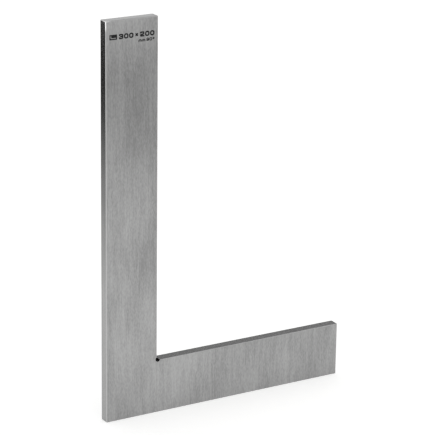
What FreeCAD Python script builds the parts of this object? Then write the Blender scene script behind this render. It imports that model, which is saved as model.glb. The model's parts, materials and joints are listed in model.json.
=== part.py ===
import FreeCAD, Part
import math
import os

# A flat engineer's square: one plate of tool steel cut to an L, ground all over, with its
# size etched into the marked face and filled with black.
#
# Frame: +Z up the blade, +X along the beam, and the marked face looks towards -Y. The origin
# lies under the middle of the beam's outer edge, on the surface that the square stands on.

Vector = FreeCAD.Vector
os.makedirs("parts", exist_ok=True)

# Driving dimensions, in millimetres.
blade_length = 300.0  # the upright leg's outer edge, from the base to its free end
beam_length = 200.0  # the lying leg's outer edge, from the heel to its free end
leg_width = 41.5  # outer edge to inner edge, the same on both legs
thickness = 8.0  # marked face to back face
edge_break = 0.5  # 45 degree break along every edge of the plate
relief_diameter = 3.4  # hole at the inside corner, which clears the corner of the work
relief_shift = 1.0  # from the blade's inner edge to the hole's centre
relief_rise = 0.5  # from the beam's inner edge to the hole's centre
relief_break = 0.2  # 45 degree break at both mouths of the relief hole

# The etched mark, across the blade near its free end.
etch_depth = 0.10  # pocket floor below the marked face
fill_recess = 0.02  # face of the black fill below the marked face
mark_margin = 3.0  # from each side of the blade to the mark
mark_drop = 9.9  # from the blade's free end to the top of the numerals
line_gap = 1.2  # from the size to the smaller line under it
small_height = 2.3  # height of the smaller line

# Proportions of the figures, as shares of their own height.
bold_stroke = 0.28  # width of the size numerals' strokes
light_stroke = 0.26  # width of the smaller line's strokes
symbol_stroke = 0.13  # width of the L that is left standing in the symbol's black block
digit_width = 0.94
digit_gap = 0.12
word_gap = 0.38
round_bend = 0.26  # radius of a figure's bends, along the middle of the stroke
crisp_bend = 0.10  # radius at the symbol's corners
times_width = 0.60
degree_width = 0.66
letter_m_width = 1.12
letter_height = 0.74  # a small letter beside figures of height 1
symbol_width = 1.60
symbol_border = 0.30  # from the block's edges to the middle of the L's strokes

same_point = 1e-6  # closer than this, two ends of a path are one
cutter_overrun = 1.0  # how far in front of the marked face an etching cut starts

# What follows from them.
blade_left = -beam_length / 2
blade_right = blade_left + leg_width
beam_end = beam_length / 2
front = -thickness / 2
mark_left = blade_left + mark_margin
mark_right = blade_right - mark_margin


def l_plate():
    """The L-shaped plate with sharp edges."""
    outline = [
        (blade_left, 0),
        (beam_end, 0),
        (beam_end, leg_width),
        (blade_right, leg_width),
        (blade_right, blade_length),
        (blade_left, blade_length),
    ]
    points = [Vector(x, front, z) for x, z in outline]
    face = Part.Face(Part.makePolygon(points + points[:1]))
    return face.extrude(Vector(0, thickness, 0))


def break_edges(plate):
    """The plate with every edge broken, except the one down the inside corner."""

    def inside_corner(edge):
        middle = edge.CenterOfMass
        return math.hypot(middle.x - blade_right, middle.z - leg_width) < edge_break

    return plate.makeChamfer(edge_break, [e for e in plate.Edges if not inside_corner(e)])


def relief_hole():
    """The drill through the inside corner, flared at both faces."""
    radius = relief_diameter / 2
    near_mouth = Vector(blade_right + relief_shift, front, leg_width + relief_rise)
    along = Vector(0, 1, 0)
    far_mouth = near_mouth + along * thickness
    drill = Part.makeCylinder(radius, thickness, near_mouth, along)
    near_flare = Part.makeCone(radius + relief_break, radius, relief_break, near_mouth, along)
    far_flare = Part.makeCone(radius + relief_break, radius, relief_break, far_mouth, -along)
    return drill.fuse([near_flare, far_flare])


def bend(before, corner, after, radius):
    """The tangent arc that rounds a corner of a stroke: its start, middle and end."""
    back_run = before - corner
    on_run = after - corner
    room = 0.5 * min(back_run.Length, on_run.Length)
    half_angle = back_run.getAngle(on_run) / 2
    tangent = min(radius / math.tan(half_angle), room)
    radius = tangent * math.tan(half_angle)
    to_back = Vector(back_run).normalize()
    to_on = Vector(on_run).normalize()
    inward = (to_back + to_on).normalize()
    middle = corner + inward * (radius / math.sin(half_angle) - radius)
    return corner + to_back * tangent, middle, corner + to_on * tangent


def centre_line(points, radius, closed):
    """Straight runs joined by tangent arcs, as the path of an engraving cutter."""
    count = len(points)
    corners = range(count) if closed else range(1, count - 1)
    bends = [bend(points[i - 1], points[i], points[(i + 1) % count], radius) for i in corners]
    stops = [bends[-1][2]] if closed else [points[0]]
    edges = []
    for start, middle, end in bends:
        if (start - stops[-1]).Length > same_point:
            edges.append(Part.LineSegment(stops[-1], start).toShape())
        edges.append(Part.Arc(start, middle, end).toShape())
        stops.append(end)
    if not closed and (points[-1] - stops[-1]).Length > same_point:
        edges.append(Part.LineSegment(stops[-1], points[-1]).toShape())
    return Part.Wire(edges)


def straight_band(start, end, width):
    """The slot with round ends that a round cutter leaves along one straight run."""
    reach = Vector(end - start).normalize() * (width / 2)
    side = Vector(-reach.z, 0, reach.x)
    edges = [
        Part.LineSegment(start + side, end + side).toShape(),
        Part.Arc(end + side, end + reach, end - side).toShape(),
        Part.LineSegment(end - side, start - side).toShape(),
        Part.Arc(start - side, start - reach, start + side).toShape(),
    ]
    return Part.Face(Part.Wire(edges))


def stroke_face(points, width, radius, closed):
    """The flat band that a round cutter of this width leaves along a path."""
    if len(points) == 2:
        return straight_band(points[0], points[1], width)
    path = centre_line(points, radius, closed)
    if closed:
        outer = Part.Face(path.makeOffset2D(width / 2))
        inner = Part.Face(path.makeOffset2D(-width / 2))
        return outer.cut(inner)
    return Part.Face(path.makeOffset2D(width / 2))


# Each figure is a list of strokes, (closed, points), on a centre-line cell a wide and b high.
def ring(left, bottom, right, top):
    return (True, [(left, bottom), (right, bottom), (right, top), (left, top)])


def digit_strokes(digit, a, b):
    """The strokes of one numeral."""
    middle = b / 2
    hook = 0.18 * b  # the turned-in end of a 2, 3, 5, 6 or 9
    bowl = 0.57 * b  # height of the ring in a 5, 6 or 9
    flag = 0.24 * b  # drop of the 1's flag
    stem = 0.62 * a  # where the 1 stands
    slant = 0.36 * b  # foot of the 2's slanting run
    tongue = 0.35 * a  # middle stroke of the 3, and foot of the 7
    mast = 0.70 * a  # upright of the 4
    yard = 0.28 * b  # crossbar of the 4
    strokes = {
        "0": [ring(0, 0, a, b)],
        "1": [(False, [(stem - flag, b - flag), (stem, b), (stem, 0)])],
        "2": [(False, [(0, b - hook), (0, b), (a, b), (a, middle), (0, slant), (0, 0), (a, 0)])],
        "3": [
            (False, [(0, b - hook), (0, b), (a, b), (a, middle), (tongue, middle)]),
            (False, [(tongue, middle), (a, middle), (a, 0), (0, 0), (0, hook)]),
        ],
        "4": [
            (False, [(mast, b), (0, yard), (a, yard)]),
            (False, [(mast, b), (mast, 0)]),
        ],
        "5": [(False, [(a, b), (0, b), (0, bowl), (a, bowl), (a, 0), (0, 0), (0, hook)])],
        "6": [
            ring(0, 0, a, bowl),
            (False, [(0, bowl / 2), (0, b), (a, b), (a, b - hook)]),
        ],
        "7": [(False, [(0, b), (a, b), (tongue, 0)])],
        "8": [ring(0, 0, a, middle), ring(0, middle, a, b)],
        "9": [
            ring(0, b - bowl, a, b),
            (False, [(a, b - bowl / 2), (a, 0), (0, 0), (0, hook)]),
        ],
    }
    return strokes[digit]


def figure(character, stroke):
    """A character's width, the radius of its bends and its strokes, for a height of 1."""
    b = 1 - stroke
    if character == "x":
        arm = times_width - stroke
        low = (b - arm) / 2
        high = low + arm
        arms = [(False, [(0, low), (arm, high)]), (False, [(0, high), (arm, low)])]
        return times_width, round_bend, arms
    if character == "o":
        size = degree_width - stroke
        return degree_width, round_bend, [ring(0, b - size, size, b)]
    if character == "m":
        a = letter_m_width - stroke
        top = letter_height - stroke
        arches = [
            (False, [(0, 0), (0, top), (a / 2, top), (a / 2, 0)]),
            (False, [(a / 2, top / 2), (a / 2, top), (a, top), (a, 0)]),
        ]
        return letter_m_width, round_bend, arches
    return digit_width, round_bend, digit_strokes(character, digit_width - stroke, b)


def line_width(text, stroke):
    """The width of a line of figures whose height is 1."""
    width = 0
    for before, character in zip(" " + text, text):
        if character == " ":
            width += word_gap
        else:
            width += figure(character, stroke)[0] + (digit_gap if before != " " else 0)
    return width


def line_figures(text, stroke, height, left, base):
    """The bands of each figure in a line that starts at left and stands on base."""
    figures = []
    cursor = 0
    for before, character in zip(" " + text, text):
        if character == " ":
            cursor += word_gap
            continue
        cursor += digit_gap if before != " " else 0
        width, radius, strokes = figure(character, stroke)
        bands = []
        for closed, points in strokes:
            at = [
                Vector(
                    left + (cursor + stroke / 2 + x) * height,
                    0,
                    base + (stroke / 2 + z) * height,
                )
                for x, z in points
            ]
            bands.append(stroke_face(at, stroke * height, radius * height, closed))
        figures.append(bands)
        cursor += width
    return figures


def symbol_figure(height, left, base):
    """The right-angle symbol: a black block with an L left standing in it."""

    def at(x, z):
        return Vector(left + x * height, 0, base + z * height)

    sides = [at(0, 0), at(symbol_width, 0), at(symbol_width, 1), at(0, 1)]
    block = Part.Face(centre_line(sides, crisp_bend * height, True))
    heel = symbol_border
    corner = [at(heel, 1 - symbol_border), at(heel, heel), at(symbol_width - symbol_border, heel)]
    standing = stroke_face(corner, symbol_stroke * height, crisp_bend * height, False)
    return [block.cut(standing)]


def figure_solid(bands, near, far):
    """One solid of a figure's bands, from near to far along Y."""
    solids = [band.translated(Vector(0, near, 0)).extrude(Vector(0, far - near, 0)) for band in bands]
    if len(solids) == 1:
        return solids[0]
    return solids[0].fuse(solids[1:]).removeSplitter()


def mark_figures():
    """The figures of each part of the mark, by node."""
    size = f"{blade_length:.0f} x {beam_length:.0f}"
    symbol_span = symbol_width + word_gap
    height = (mark_right - mark_left) / (symbol_span + line_width(size, bold_stroke))
    base = blade_length - mark_drop - height
    size_left = mark_left + symbol_span * height
    small_base = base - line_gap - small_height
    angle_left = mark_right - line_width("90o", light_stroke) * small_height
    unit_left = angle_left - (line_width("mm", light_stroke) + word_gap) * small_height
    return {
        "right_angle_symbol": [symbol_figure(height, mark_left, base)],
        "size_numerals": line_figures(size, bold_stroke, height, size_left, base),
        "unit_letters": line_figures("mm", light_stroke, small_height, unit_left, small_base),
        "angle_numerals": line_figures("90o", light_stroke, small_height, angle_left, small_base),
    }


def filled_mark(figures):
    """The black fill of a line, on the floor of its pockets."""
    return Part.makeCompound(
        [figure_solid(bands, front + fill_recess, front + etch_depth) for bands in figures]
    )


def etched(plate, figures):
    """The plate with the pockets of a line cut into its marked face."""
    start = front - cutter_overrun
    return plate.cut([figure_solid(bands, start, front + etch_depth) for bands in figures])


marks = mark_figures()
body = break_edges(l_plate()).cut(relief_hole())
for figures in marks.values():
    body = etched(body, figures)

nodes = {"square_body": body}
for name, figures in marks.items():
    nodes[name] = filled_mark(figures)

for name, shape in nodes.items():
    print(f"{name}: {len(shape.Solids)} solids, {shape.Volume:.2f} mm3, valid {shape.isValid()}")
    shape.exportStep(f"parts/{name}.step")
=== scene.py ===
import json
import math

import bmesh
import bpy
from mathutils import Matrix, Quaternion, Vector


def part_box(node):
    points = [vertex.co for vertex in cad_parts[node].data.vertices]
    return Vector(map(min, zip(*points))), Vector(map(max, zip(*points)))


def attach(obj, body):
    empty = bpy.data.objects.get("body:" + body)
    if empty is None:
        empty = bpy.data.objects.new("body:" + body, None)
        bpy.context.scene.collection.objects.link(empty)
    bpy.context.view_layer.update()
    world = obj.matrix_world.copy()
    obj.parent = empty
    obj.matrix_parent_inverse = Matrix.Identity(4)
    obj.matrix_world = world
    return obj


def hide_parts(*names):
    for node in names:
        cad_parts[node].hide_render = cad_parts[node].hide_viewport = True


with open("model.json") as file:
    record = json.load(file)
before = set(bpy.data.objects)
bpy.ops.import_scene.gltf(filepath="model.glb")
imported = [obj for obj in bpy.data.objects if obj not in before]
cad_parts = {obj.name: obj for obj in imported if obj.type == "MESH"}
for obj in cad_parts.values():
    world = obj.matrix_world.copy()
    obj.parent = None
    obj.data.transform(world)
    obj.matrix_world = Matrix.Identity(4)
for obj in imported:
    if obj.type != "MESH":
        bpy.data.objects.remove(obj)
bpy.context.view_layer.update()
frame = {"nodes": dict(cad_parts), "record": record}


# The etched mark: the size, the unit, the angle and a right-angle symbol, bitten a tenth of a
# millimetre into the blade and flooded with matt black enamel. Each line of it is a node of the
# design, so those stay as they are and take the black finish.
MM = 0.001
FILL_BLACK = "#101011"
FILL_GREY = "#1C1C1D"
FILL_GRAIN = 0.6 * MM  # really some hundredths of a millimetre, drawn coarser so that it shows

mark_nodes = ["right_angle_symbol", "size_numerals", "unit_letters", "angle_numerals"]


def colour(hex_code):
    """An sRGB hex colour as the linear colour that a shader takes."""
    channels = [int(hex_code[i : i + 2], 16) / 255 for i in (1, 3, 5)]
    return [c / 12.92 if c <= 0.04045 else ((c + 0.055) / 1.055) ** 2.4 for c in channels] + [1]


def add(tree, kind, settings=None, **links):
    """A node with its settings, and its inputs linked to a socket or given a value.

    An input goes by its name, with underscores for spaces, or by its number, as n0.
    """
    node = tree.nodes.new(kind)
    for name, value in (settings or {}).items():
        setattr(node, name, value)
    for name, value in links.items():
        place = int(name[1:]) if name[0] == "n" and name[1:].isdigit() else name.replace("_", " ")
        if isinstance(value, bpy.types.NodeSocket):
            tree.links.new(value, node.inputs[place])
        else:
            node.inputs[place].default_value = value
    return node


def empty_material(name):
    """A new material, its node tree and its bare shader."""
    material = bpy.data.materials.new(name)
    material.use_nodes = True
    tree = material.node_tree
    return material, tree, tree.nodes["Principled BSDF"]


def black_enamel():
    """Enamel rubbed into the etching: it reads as flat black, dull from every side."""
    material, tree, shader = empty_material("black_enamel_fill")
    place = add(tree, "ShaderNodeTexCoord").outputs["Object"]
    grain = add(tree, "ShaderNodeTexNoise", Vector=place, Scale=1 / FILL_GRAIN, Detail=2.0)
    mixed = add(
        tree,
        "ShaderNodeMix",
        {"data_type": "RGBA"},
        n0=grain.outputs["Fac"],
        n6=colour(FILL_BLACK),
        n7=colour(FILL_GREY),
    )
    tree.links.new(mixed.outputs[2], shader.inputs["Base Color"])
    shader.inputs["Roughness"].default_value = 0.62
    shader.inputs["Specular IOR Level"].default_value = 0.2
    return material


enamel = black_enamel()
for name in mark_nodes:
    node = frame["nodes"][name]
    node.data.materials.clear()
    node.data.materials.append(enamel)


# The plate: one piece of tool steel, sawn to an L and hardened, with a small hole drilled at the
# inside corner to clear the corner of the work. Its faces are ground and its edges lapped, and
# the mark's pockets are etched into its front.
ARRIS = 0.5 * MM
ARRIS_STEPS = 4
RELIEF_RADIUS = 1.7 * MM
RELIEF_SHIFT = 1.0 * MM  # from the blade's inner edge to the hole's centre
RELIEF_RISE = 0.5 * MM  # from the beam's inner edge to the hole's centre
RELIEF_STEPS = 48
RELIEF_BREAK = 0.2 * MM
RELIEF_BREAK_STEPS = 2
ETCH_DEPTH = 0.10 * MM
SAME_POINT = 0.001 * MM
SHARP = math.radians(45)
GROUND, LAPPED, MILLED, STONED, DRILLED = range(5)

low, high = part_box("square_body")
resting = {mount["name"]: Vector(mount["pos_m"]) for mount in frame["record"]["mounts"]}
inside_corner = Vector((resting["blade_inner_edge"].x, low.y, resting["beam_inner_edge"].z))
hole_centre = inside_corner + Vector((RELIEF_SHIFT, 0, RELIEF_RISE))


def plate_outline(shape):
    """The L on the marked face, with the relief hole's arc at its inside corner."""
    above = math.sqrt(RELIEF_RADIUS**2 - RELIEF_SHIFT**2)
    blade_side = shape.verts.new(hole_centre + Vector((-RELIEF_SHIFT, 0, above)))
    sweep = 1.5 * math.pi
    for offset in (RELIEF_SHIFT, RELIEF_RISE):
        sweep -= math.asin(offset / RELIEF_RADIUS)
    bmesh.ops.spin(
        shape,
        geom=[blade_side],
        cent=hole_centre,
        axis=(0, 1, 0),
        angle=-sweep,
        steps=RELIEF_STEPS,
        use_merge=False,
        use_duplicate=False,
    )
    shape.verts.ensure_lookup_table()
    beam_side = shape.verts[-1]
    corners = [
        (high.x, inside_corner.z),
        (high.x, low.z),
        (low.x, low.z),
        (low.x, high.z),
        (inside_corner.x, high.z),
    ]
    loop = [beam_side] + [shape.verts.new((x, low.y, z)) for x, z in corners] + [blade_side]
    for start, end in zip(loop, loop[1:]):
        shape.edges.new((start, end))
    bmesh.ops.contextual_create(shape, geom=shape.edges[:])


def at_the_hole(place):
    """Whether a place on the plate is on the wall or at a mouth of the relief hole."""
    reach = RELIEF_RADIUS + 2 * RELIEF_BREAK
    return math.hypot(place.x - hole_centre.x, place.z - hole_centre.z) < reach


def finish(face):
    """Which finish a face of the sharp-edged plate has."""
    if abs(face.normal.y) > math.cos(SHARP):
        return GROUND
    middle = face.calc_center_median()
    if at_the_hole(middle):
        return DRILLED
    at_an_end = middle.z > high.z - ARRIS or middle.x > high.x - ARRIS
    return MILLED if at_an_end else LAPPED


def sharp_edges(shape):
    """The edges where two faces meet at more than half a right angle."""
    return [edge for edge in shape.edges if edge.calc_face_angle() > SHARP]


def round_the_hole(edge):
    """Whether both ends of an edge are at the relief hole."""
    return all(at_the_hole(vert.co) for vert in edge.verts)


def broken(shape, edges, size, steps, look):
    """Edges broken to a size, with the look given to the narrow faces this leaves."""
    made = bmesh.ops.bevel(
        shape,
        geom=edges,
        offset=size,
        offset_type="OFFSET",
        affect="EDGES",
        segments=steps,
        profile=0.5,
        material=-1,
    )
    for face in made["faces"]:
        face.material_index = look
        face.smooth = True


def plate_mesh():
    """The plate grown from its outline, with its arrises stoned off."""
    shape = bmesh.new()
    plate_outline(shape)
    grown = bmesh.ops.extrude_face_region(shape, geom=shape.faces[:])
    moved = [item for item in grown["geom"] if isinstance(item, bmesh.types.BMVert)]
    bmesh.ops.translate(shape, verts=moved, vec=(0, high.y - low.y, 0))
    bmesh.ops.recalc_face_normals(shape, faces=shape.faces[:])
    for face in shape.faces:
        face.material_index = finish(face)
        face.smooth = face.material_index == DRILLED
    inner = [edge for edge in sharp_edges(shape) if round_the_hole(edge)]
    mouths = [edge for edge in inner if abs(edge.verts[0].co.y - edge.verts[1].co.y) < RELIEF_BREAK]
    broken(shape, mouths, RELIEF_BREAK, RELIEF_BREAK_STEPS, DRILLED)
    outer = [edge for edge in sharp_edges(shape) if not round_the_hole(edge)]
    broken(shape, outer, ARRIS, ARRIS_STEPS, STONED)
    mesh = bpy.data.meshes.new("ground_plate")
    shape.to_mesh(mesh)
    shape.free()
    return mesh


def etching_tool(name):
    """The solid that one line of the mark takes out of the plate."""
    shape = bmesh.new()
    shape.from_mesh(frame["nodes"][name].data)
    bmesh.ops.remove_doubles(shape, verts=shape.verts[:], dist=SAME_POINT)
    for vert in shape.verts:
        if vert.co.y < low.y + ETCH_DEPTH / 2:
            vert.co.y = low.y - ETCH_DEPTH
    mesh = bpy.data.meshes.new("etching_tool")
    shape.to_mesh(mesh)
    shape.free()
    return bpy.data.objects.new("etching_tool", mesh)


def etched(piece):
    """The piece's mesh with every line of the mark cut into it."""
    tools = [etching_tool(name) for name in mark_nodes]
    for tool in tools:
        bpy.context.scene.collection.objects.link(tool)
        cut = piece.modifiers.new("etching", "BOOLEAN")
        cut.operation = "DIFFERENCE"
        cut.solver = "EXACT"
        cut.object = tool
    bpy.context.view_layer.update()
    mesh = bpy.data.meshes.new_from_object(piece.evaluated_get(bpy.context.evaluated_depsgraph_get()))
    piece.modifiers.clear()
    for tool in tools:
        bpy.data.objects.remove(tool)
    return mesh


def patch(tree, place, centre, reach, lift):
    """A value that falls smoothly from lift at the centre to nothing at its reach."""
    away = add(tree, "ShaderNodeVectorMath", {"operation": "DISTANCE"}, n0=place, n1=centre)
    fade = add(
        tree,
        "ShaderNodeMapRange",
        {"interpolation_type": "SMOOTHSTEP"},
        Value=away.outputs["Value"],
        From_Max=reach,
        To_Min=lift,
        To_Max=0.0,
    )
    return fade.outputs[0]


# Layers of streaks as (width, length, detail, share). A wheel's real scratches are a few
# hundredths of a millimetre wide, and the finest are drawn 0.6 mm wide so that they show.
GROUND_STREAKS = [
    (16 * MM, 40 * MM, 2.0, 0.28),
    (3.2 * MM, 70 * MM, 1.0, 0.14),
    (0.9 * MM, 16 * MM, 1.0, 0.22),
    (0.6 * MM, 2.2 * MM, 1.0, 0.36),
]
LAPPED_STREAKS = [
    (6 * MM, 40 * MM, 2.0, 0.4),
    (0.7 * MM, 14 * MM, 2.0, 0.6),
]
GROUND_DEPTH = 0.002 * MM
LAPPED_DEPTH = 0.0006 * MM

# Broad soft patches where the steel is lighter or darker, as (centre, reach, lift).
# These patches are painted light and painted shade on the ground faces.
FACE_PAINTED_LIGHT_AND_SHADE = [
    (Vector((-52, -4, 42)) * MM, 62 * MM, 0.10),
    (Vector((-100, -4, 300)) * MM, 24 * MM, 0.05),
    (Vector((-104, -4, 170)) * MM, 62 * MM, 0.07),
    (Vector((-104, -4, 105)) * MM, 62 * MM, 0.05),
    (Vector((-54, -4, 190)) * MM, 62 * MM, -0.06),
    (Vector((-54, -4, 125)) * MM, 56 * MM, -0.07),
]
# Painted shade on the lapped edges, darker towards the foot of the blade's outer edge and in the inside
# corner, as (centre, reach, lift).
EDGE_PAINTED_SHADE = [
    (Vector((-100, 0, 0)) * MM, 80 * MM, -0.20),
    (Vector((-58, 0, 42)) * MM, 16 * MM, -0.30),
]
TONE_DARKEST = 0.36
TONE_LIGHTEST = 0.68
ROUGHNESS_SWING = 0.015


def worked_steel(name, ends, streaks, lay, across, roughness, depth, painted_patches):
    """Steel worked one way: streaks run with the lay, a gloss is spread across it, and patches of painted
    light and painted shade lift or lower its tone.
    """
    material, tree, shader = empty_material(name)
    place = add(tree, "ShaderNodeTexCoord").outputs["Object"]
    tone = None
    total = 0
    for width, length, detail, share in streaks:
        size = [1 / (length if axis in lay else width) for axis in "XYZ"]
        stretched = add(tree, "ShaderNodeMapping", Vector=place, Scale=size).outputs["Vector"]
        streak = add(tree, "ShaderNodeTexNoise", Vector=stretched, Scale=1.0, Detail=detail).outputs["Fac"]
        total += share
        if tone is None:
            tone = streak
        else:
            tone = add(tree, "ShaderNodeMix", n0=share / total, n2=tone, n3=streak).outputs[0]
    # Patches of painted light and painted shade, added to the tone.
    for centre, reach, lift in painted_patches:
        painted_light = patch(tree, place, centre, reach, lift)
        tone = add(tree, "ShaderNodeMath", {"operation": "ADD"}, n0=tone, n1=painted_light).outputs[0]
    spread = add(
        tree, "ShaderNodeMapRange", Value=tone, From_Min=TONE_DARKEST, From_Max=TONE_LIGHTEST
    ).outputs[0]
    mixed = add(
        tree, "ShaderNodeMix", {"data_type": "RGBA"}, n0=spread, n6=colour(ends[0]), n7=colour(ends[1])
    )
    tree.links.new(mixed.outputs[2], shader.inputs["Base Color"])
    rough = add(
        tree,
        "ShaderNodeMapRange",
        Value=streak,
        From_Min=0.3,
        From_Max=0.7,
        To_Min=roughness - ROUGHNESS_SWING,
        To_Max=roughness + ROUGHNESS_SWING,
    )
    tree.links.new(rough.outputs[0], shader.inputs["Roughness"])
    relief = add(tree, "ShaderNodeBump", Height=streak, Strength=1.0, Distance=depth)
    tree.links.new(relief.outputs["Normal"], shader.inputs["Normal"])
    side = add(tree, "ShaderNodeCombineXYZ", X=across[0], Y=across[1], Z=across[2])
    tree.links.new(side.outputs[0], shader.inputs["Tangent"])
    shader.inputs["Metallic"].default_value = 1
    shader.inputs["Anisotropic"].default_value = 0.7
    return material


def milled_steel():
    """Milled steel on the two free ends: satin, with no lay that shows, and paler than the faces as a
    painted highlight on the ends.
    """
    material, tree, shader = empty_material("milled_ends")
    # A paler grey than the faces: painted highlight on the end faces.
    shader.inputs["Base Color"].default_value = colour("#BEBEBE")
    shader.inputs["Metallic"].default_value = 1
    shader.inputs["Roughness"].default_value = 0.42
    return material


def painted_shade_bore():
    """A bore painted black as the shade inside the hole: it reads as a hole."""
    material, tree, shader = empty_material("painted_shade_bore")
    # Near-black colour: painted shade in the bore.
    shader.inputs["Base Color"].default_value = colour("#030303")
    shader.inputs["Roughness"].default_value = 0.9
    shader.inputs["Specular IOR Level"].default_value = 0.1
    return material


# Size of the glint painted at the blade's tip, and how strongly it whitens the arris colour.
ARRIS_TIP = 5.5 * MM
TIP_PAINTED_GLINT = 1.6


def stoned_arris():
    """Flats left by an oilstone: bright thin lines, partly from the bevelled flats catching the light and
    partly a painted highlight in their paler colour, with a glint painted in at the blade's tip.
    """
    material, tree, shader = empty_material("stoned_arris")
    place = add(tree, "ShaderNodeTexCoord").outputs["Object"]
    tip = Vector((low.x, low.y, high.z - ARRIS_TIP / 2))
    painted_light = patch(tree, place, tip, ARRIS_TIP, TIP_PAINTED_GLINT)
    bright = add(
        tree, "ShaderNodeMix", {"data_type": "RGBA"}, n0=painted_light, n6=colour("#B5B5B5"), n7=colour("#FFFFFF")
    )
    tree.links.new(bright.outputs[2], shader.inputs["Base Color"])
    shader.inputs["Metallic"].default_value = 1
    shader.inputs["Roughness"].default_value = 0.34
    return material


# Surface grinding up the blade gives the faces a fine upright grain and a soft satin sheen.
ground_steel = worked_steel(
    name="ground_faces",
    ends=("#8A8A8A", "#ACACAC"),
    streaks=GROUND_STREAKS,
    lay="Z",
    across=(1, 0, 0),
    roughness=0.30,
    depth=GROUND_DEPTH,
    painted_patches=FACE_PAINTED_LIGHT_AND_SHADE,
)

# Lapping along the edges leaves them smoother than the faces, so they mirror what is near.
lapped_steel = worked_steel(
    name="lapped_edges",
    ends=("#969696", "#A3A3A3"),
    streaks=LAPPED_STREAKS,
    lay="XZ",
    across=(0, 1, 0),
    roughness=0.24,
    depth=LAPPED_DEPTH,
    painted_patches=EDGE_PAINTED_SHADE,
)

plate = bpy.data.objects.new("ground_plate", plate_mesh())
bpy.context.scene.collection.objects.link(plate)
for material in [ground_steel, lapped_steel, milled_steel(), stoned_arris(), painted_shade_bore()]:
    plate.data.materials.append(material)
plate.data = etched(plate)
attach(plate, "root")
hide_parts("square_body")


# The table and its light: matt white acrylic, lit from below, under a white tent brightest at the
# horizon. Three cards stand where only the steel mirrors them: they darken the upper half of the
# blade's outer edge, the upper part of its front, and the beam's inner edge.
ACRYLIC_WHITE = "#F7F7F6"
TABLE_GLOW = 0.48
TABLE_SIZE = 8.0
TENT_AT_HORIZON = 1.1
TENT_OVERHEAD = 0.55
TENT_FADES_FROM = math.radians(14)
TENT_FADES_TO = math.radians(38)


def matt_sheet(name, hex_code):
    """Matt paper or acrylic: an even tone with no sheen of its own."""
    material, tree, shader = empty_material(name)
    shader.inputs["Base Color"].default_value = colour(hex_code)
    shader.inputs["Roughness"].default_value = 1
    shader.inputs["Specular IOR Level"].default_value = 0
    return material


def lit(material):
    """The same material with a light behind it."""
    shader = material.node_tree.nodes["Principled BSDF"]
    shader.inputs["Emission Color"].default_value = colour("#FFFFFF")
    shader.inputs["Emission Strength"].default_value = TABLE_GLOW
    return material


def graded_acrylic(name, foot, top, reach):
    """Lit acrylic printed with an even fade from its foot up to a height."""
    material = lit(matt_sheet(name, foot))
    tree = material.node_tree
    shader = tree.nodes["Principled BSDF"]
    place = add(tree, "ShaderNodeTexCoord").outputs["Object"]
    height = add(tree, "ShaderNodeSeparateXYZ", Vector=place).outputs["Z"]
    fade = add(tree, "ShaderNodeMapRange", Value=height, From_Max=reach).outputs[0]
    mixed = add(tree, "ShaderNodeMix", {"data_type": "RGBA"}, n0=fade, n6=colour(foot), n7=colour(top))
    tree.links.new(mixed.outputs[2], shader.inputs["Base Color"])
    tree.links.new(mixed.outputs[2], shader.inputs["Emission Color"])
    return material


def sheet(name, corner, along, up, material):
    """A flat rectangle from a corner and its two sides."""
    shape = bmesh.new()
    points = [corner, corner + along, corner + along + up, corner + up]
    shape.faces.new([shape.verts.new(point) for point in points])
    mesh = bpy.data.meshes.new(name)
    shape.to_mesh(mesh)
    shape.free()
    mesh.materials.append(material)
    flat = bpy.data.objects.new(name, mesh)
    bpy.context.scene.collection.objects.link(flat)
    return flat


def card(name, corner, width, rise, material):
    """A card that only a reflection shows: it shades nothing and the camera misses it."""
    hidden = sheet(name, Vector(corner), Vector((width, 0, 0)), Vector(rise), material)
    hidden.visible_camera = False
    hidden.visible_diffuse = False
    hidden.visible_shadow = False


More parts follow.
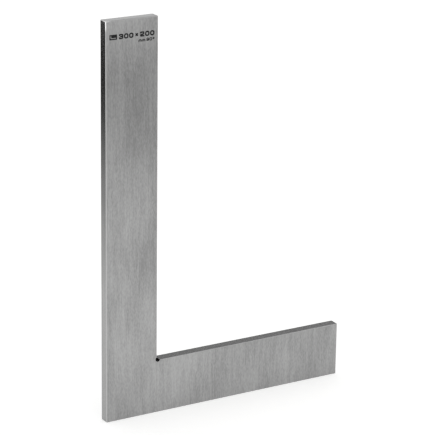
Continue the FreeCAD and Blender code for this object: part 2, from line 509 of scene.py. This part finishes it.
sheet(
    "table",
    corner=Vector((-TABLE_SIZE / 2, -TABLE_SIZE / 2, 0)),
    along=Vector((TABLE_SIZE, 0, 0)),
    up=Vector((0, TABLE_SIZE, 0)),
    material=lit(matt_sheet("lit_acrylic", ACRYLIC_WHITE)),
)
card(
    "left_card",
    corner=(-1.0, 0.24, 0),
    width=0.95,
    rise=(0, 0.36, 0.17),
    material=graded_acrylic("graded_acrylic", foot=ACRYLIC_WHITE, top="#1C1C1C", reach=0.10),
)
card(
    "right_card",
    corner=(0.0, 0.46, 0.16),
    width=0.9,
    rise=(0, 0, 0.20),
    material=matt_sheet("dark_grey_card", "#909090"),
)
card(
    "front_card",
    corner=(0.1, -0.684, 0),
    width=0.55,
    rise=(0, 0, 0.083),
    material=matt_sheet("grey_card", "#909090"),
)

world = bpy.data.worlds.new("white_tent")
bpy.context.scene.world = world
world.use_nodes = True
sky = world.node_tree
way = add(sky, "ShaderNodeTexCoord").outputs["Generated"]
height = add(sky, "ShaderNodeSeparateXYZ", Vector=way).outputs["Z"]
strength = add(
    sky,
    "ShaderNodeMapRange",
    {"interpolation_type": "SMOOTHSTEP"},
    Value=height,
    From_Min=math.sin(TENT_FADES_FROM),
    From_Max=math.sin(TENT_FADES_TO),
    To_Min=TENT_AT_HORIZON,
    To_Max=TENT_OVERHEAD,
)
tent = sky.nodes["Background"]
tent.inputs["Color"].default_value = colour("#FFFFFF")
sky.links.new(strength.outputs[0], tent.inputs["Strength"])


# The camera: a long lens on a stand, to the left of the square and a little above it, turned a
# shade in its mount.
AZIMUTH = math.radians(-30.57)
ELEVATION = math.radians(18.17)
ROLL = math.radians(0.80)
DISTANCE = 1.594
AIM = Vector((-0.0083, low.y, 0.144))

back = Vector(
    (
        math.sin(AZIMUTH) * math.cos(ELEVATION),
        -math.cos(AZIMUTH) * math.cos(ELEVATION),
        math.sin(ELEVATION),
    )
)
camera = bpy.data.objects.new("camera", bpy.data.cameras.new("camera"))
bpy.context.scene.collection.objects.link(camera)
camera.rotation_mode = "QUATERNION"
camera.location = AIM + back * DISTANCE
camera.rotation_quaternion = (-back).to_track_quat("-Z", "Y") @ Quaternion((0, 0, 1), ROLL)
camera.data.lens = 180.5
camera.data.sensor_width = 36
bpy.context.scene.camera = camera
bpy.context.scene.view_settings.view_transform = "Standard"
